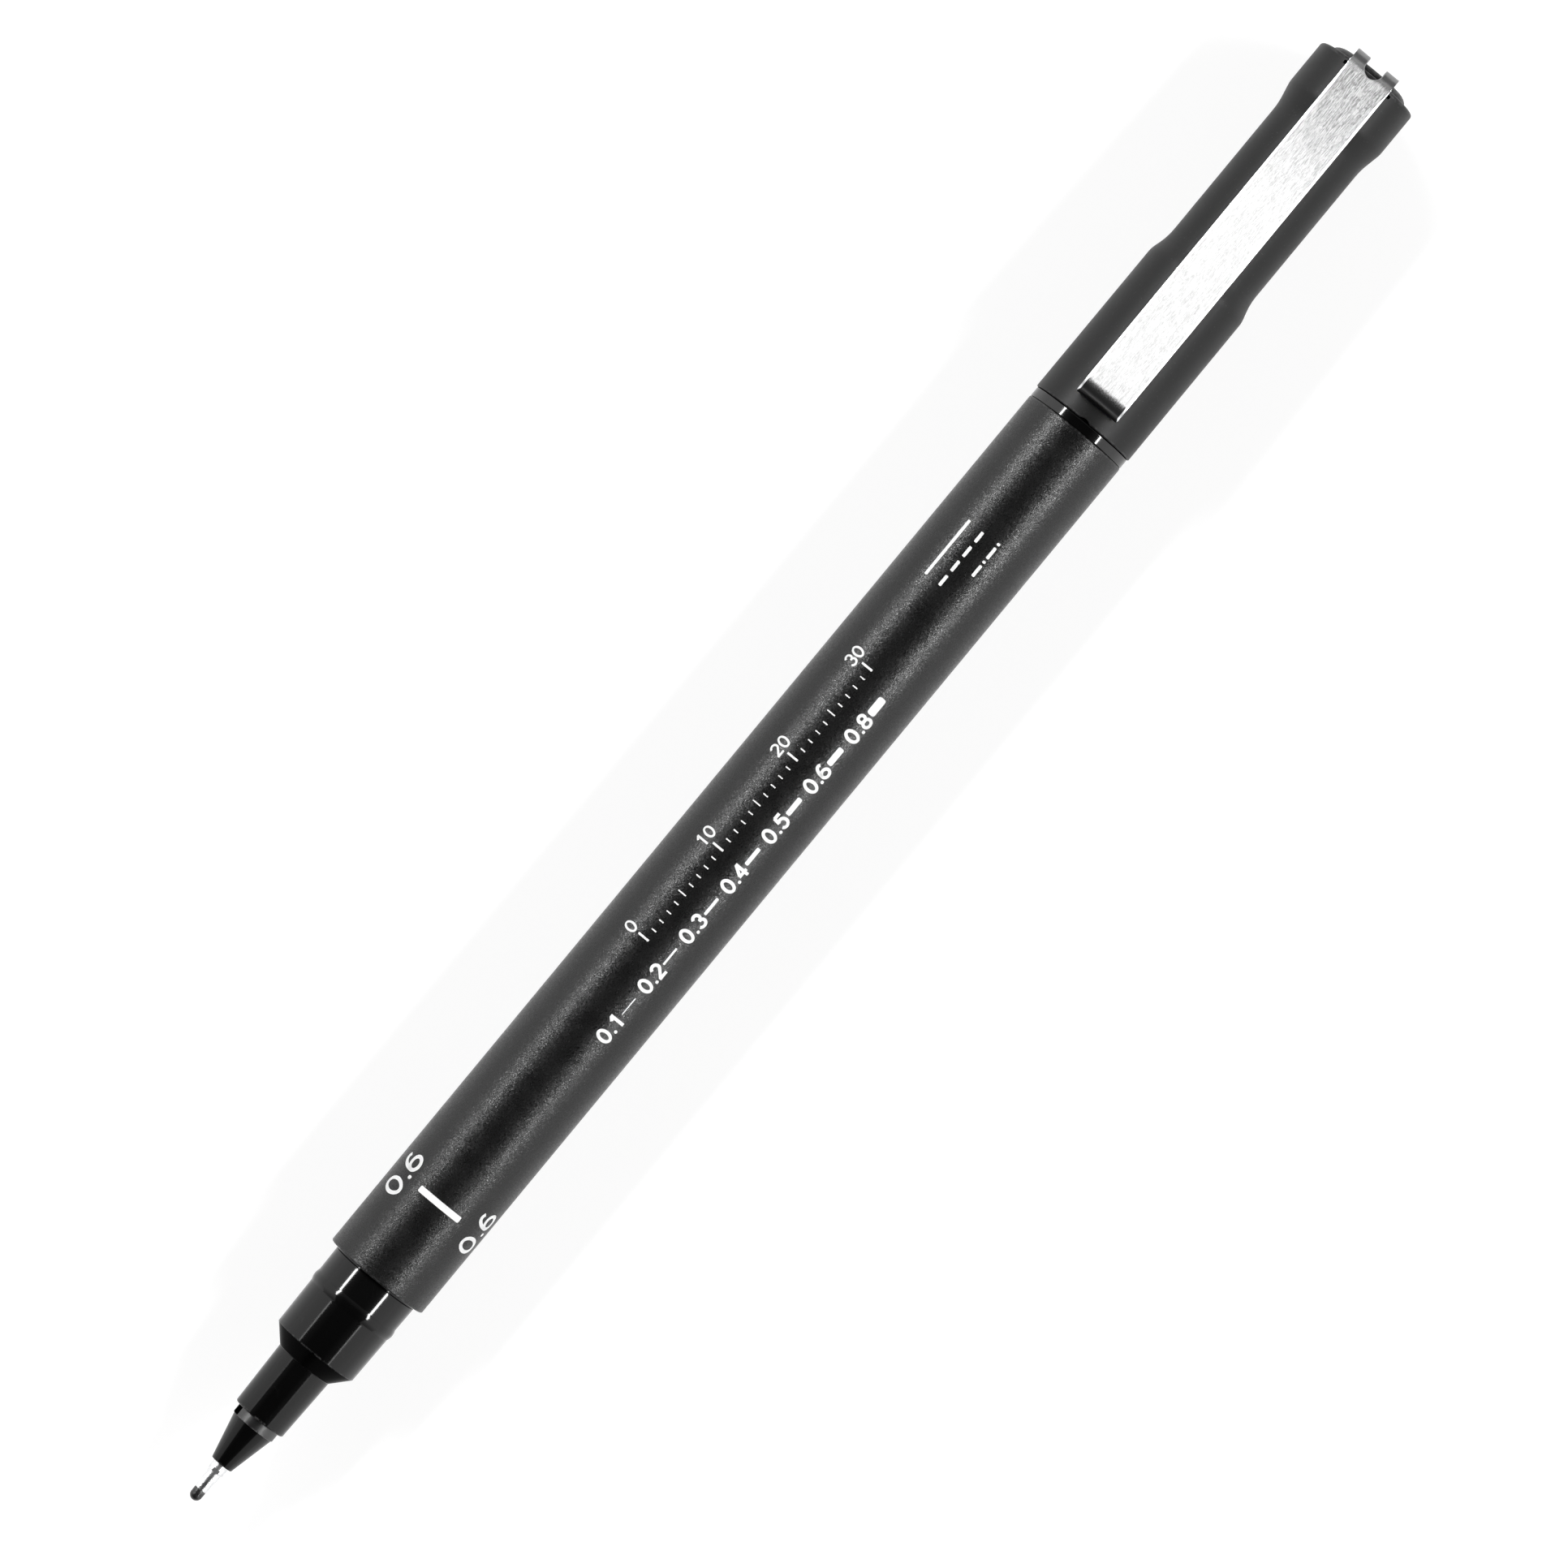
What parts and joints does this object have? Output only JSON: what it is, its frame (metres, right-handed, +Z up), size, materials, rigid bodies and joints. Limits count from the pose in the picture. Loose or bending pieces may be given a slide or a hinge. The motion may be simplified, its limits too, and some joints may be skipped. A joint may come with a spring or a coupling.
{
  "type": "fineliner pen",
  "caption": "Slim fineliner pen: steel-sleeved plastic point on a stepped front section, straight matt barrel, and a waisted cap with a sprung steel clip pushed onto the tail.",
  "frame": {"origin": "on the surface that the pen lies on, below the middle of its length", "axes": "+X along the pen's axis from the writing point to the cap's closed end, +Z up through the clip, +Y to the side"},
  "size_m": [0.16, 0.0102, 0.0118],
  "materials": {
    "point_plastic": "dark plastic point, smooth and slightly translucent at the dome",
    "polished_steel": "polished stainless steel",
    "gloss_black": "glossy black moulded plastic with fine handling scratches",
    "barrel_matt": "satin dark grey plastic with a fine sparkling grain and white printed marks",
    "cap_matt": "matt dark grey moulded plastic",
    "natural_plastic": "uncoloured soft moulded plastic",
    "inked_fibre": "bundled fibre soaked with black ink",
    "clear_film": "thin clear plastic film",
    "brushed_clip": "stainless steel strip brushed lengthwise, with bright bevelled edges"
  },
  "bodies": {
    "pen": {"nib": "point_plastic", "nib_sleeve": "polished_steel", "nib_holder": "gloss_black", "front_section": "gloss_black", "barrel": "barrel_matt", "ink_reservoir": "inked_fibre", "reservoir_film": "clear_film", "tail_plug": "gloss_black"},
    "cap": {"cap_shell": "cap_matt", "inner_cap": "natural_plastic", "cap_crown": "cap_matt"},
    "clip": {"clip": "brushed_clip"}
  },
  "joints": [
    {"name": "cap_slide", "type": "slide", "parent": "pen", "child": "cap", "axis": [1, 0, 0], "range_m": [0, 0.025]},
    {"name": "clip_flex", "type": "hinge", "parent": "cap", "child": "clip", "pos_m": [0.07923, 0, 0.0075], "axis": [0, 1, 0], "range_deg": [0, 4], "stiffness_Nm_per_rad": 0.56}
  ]
}
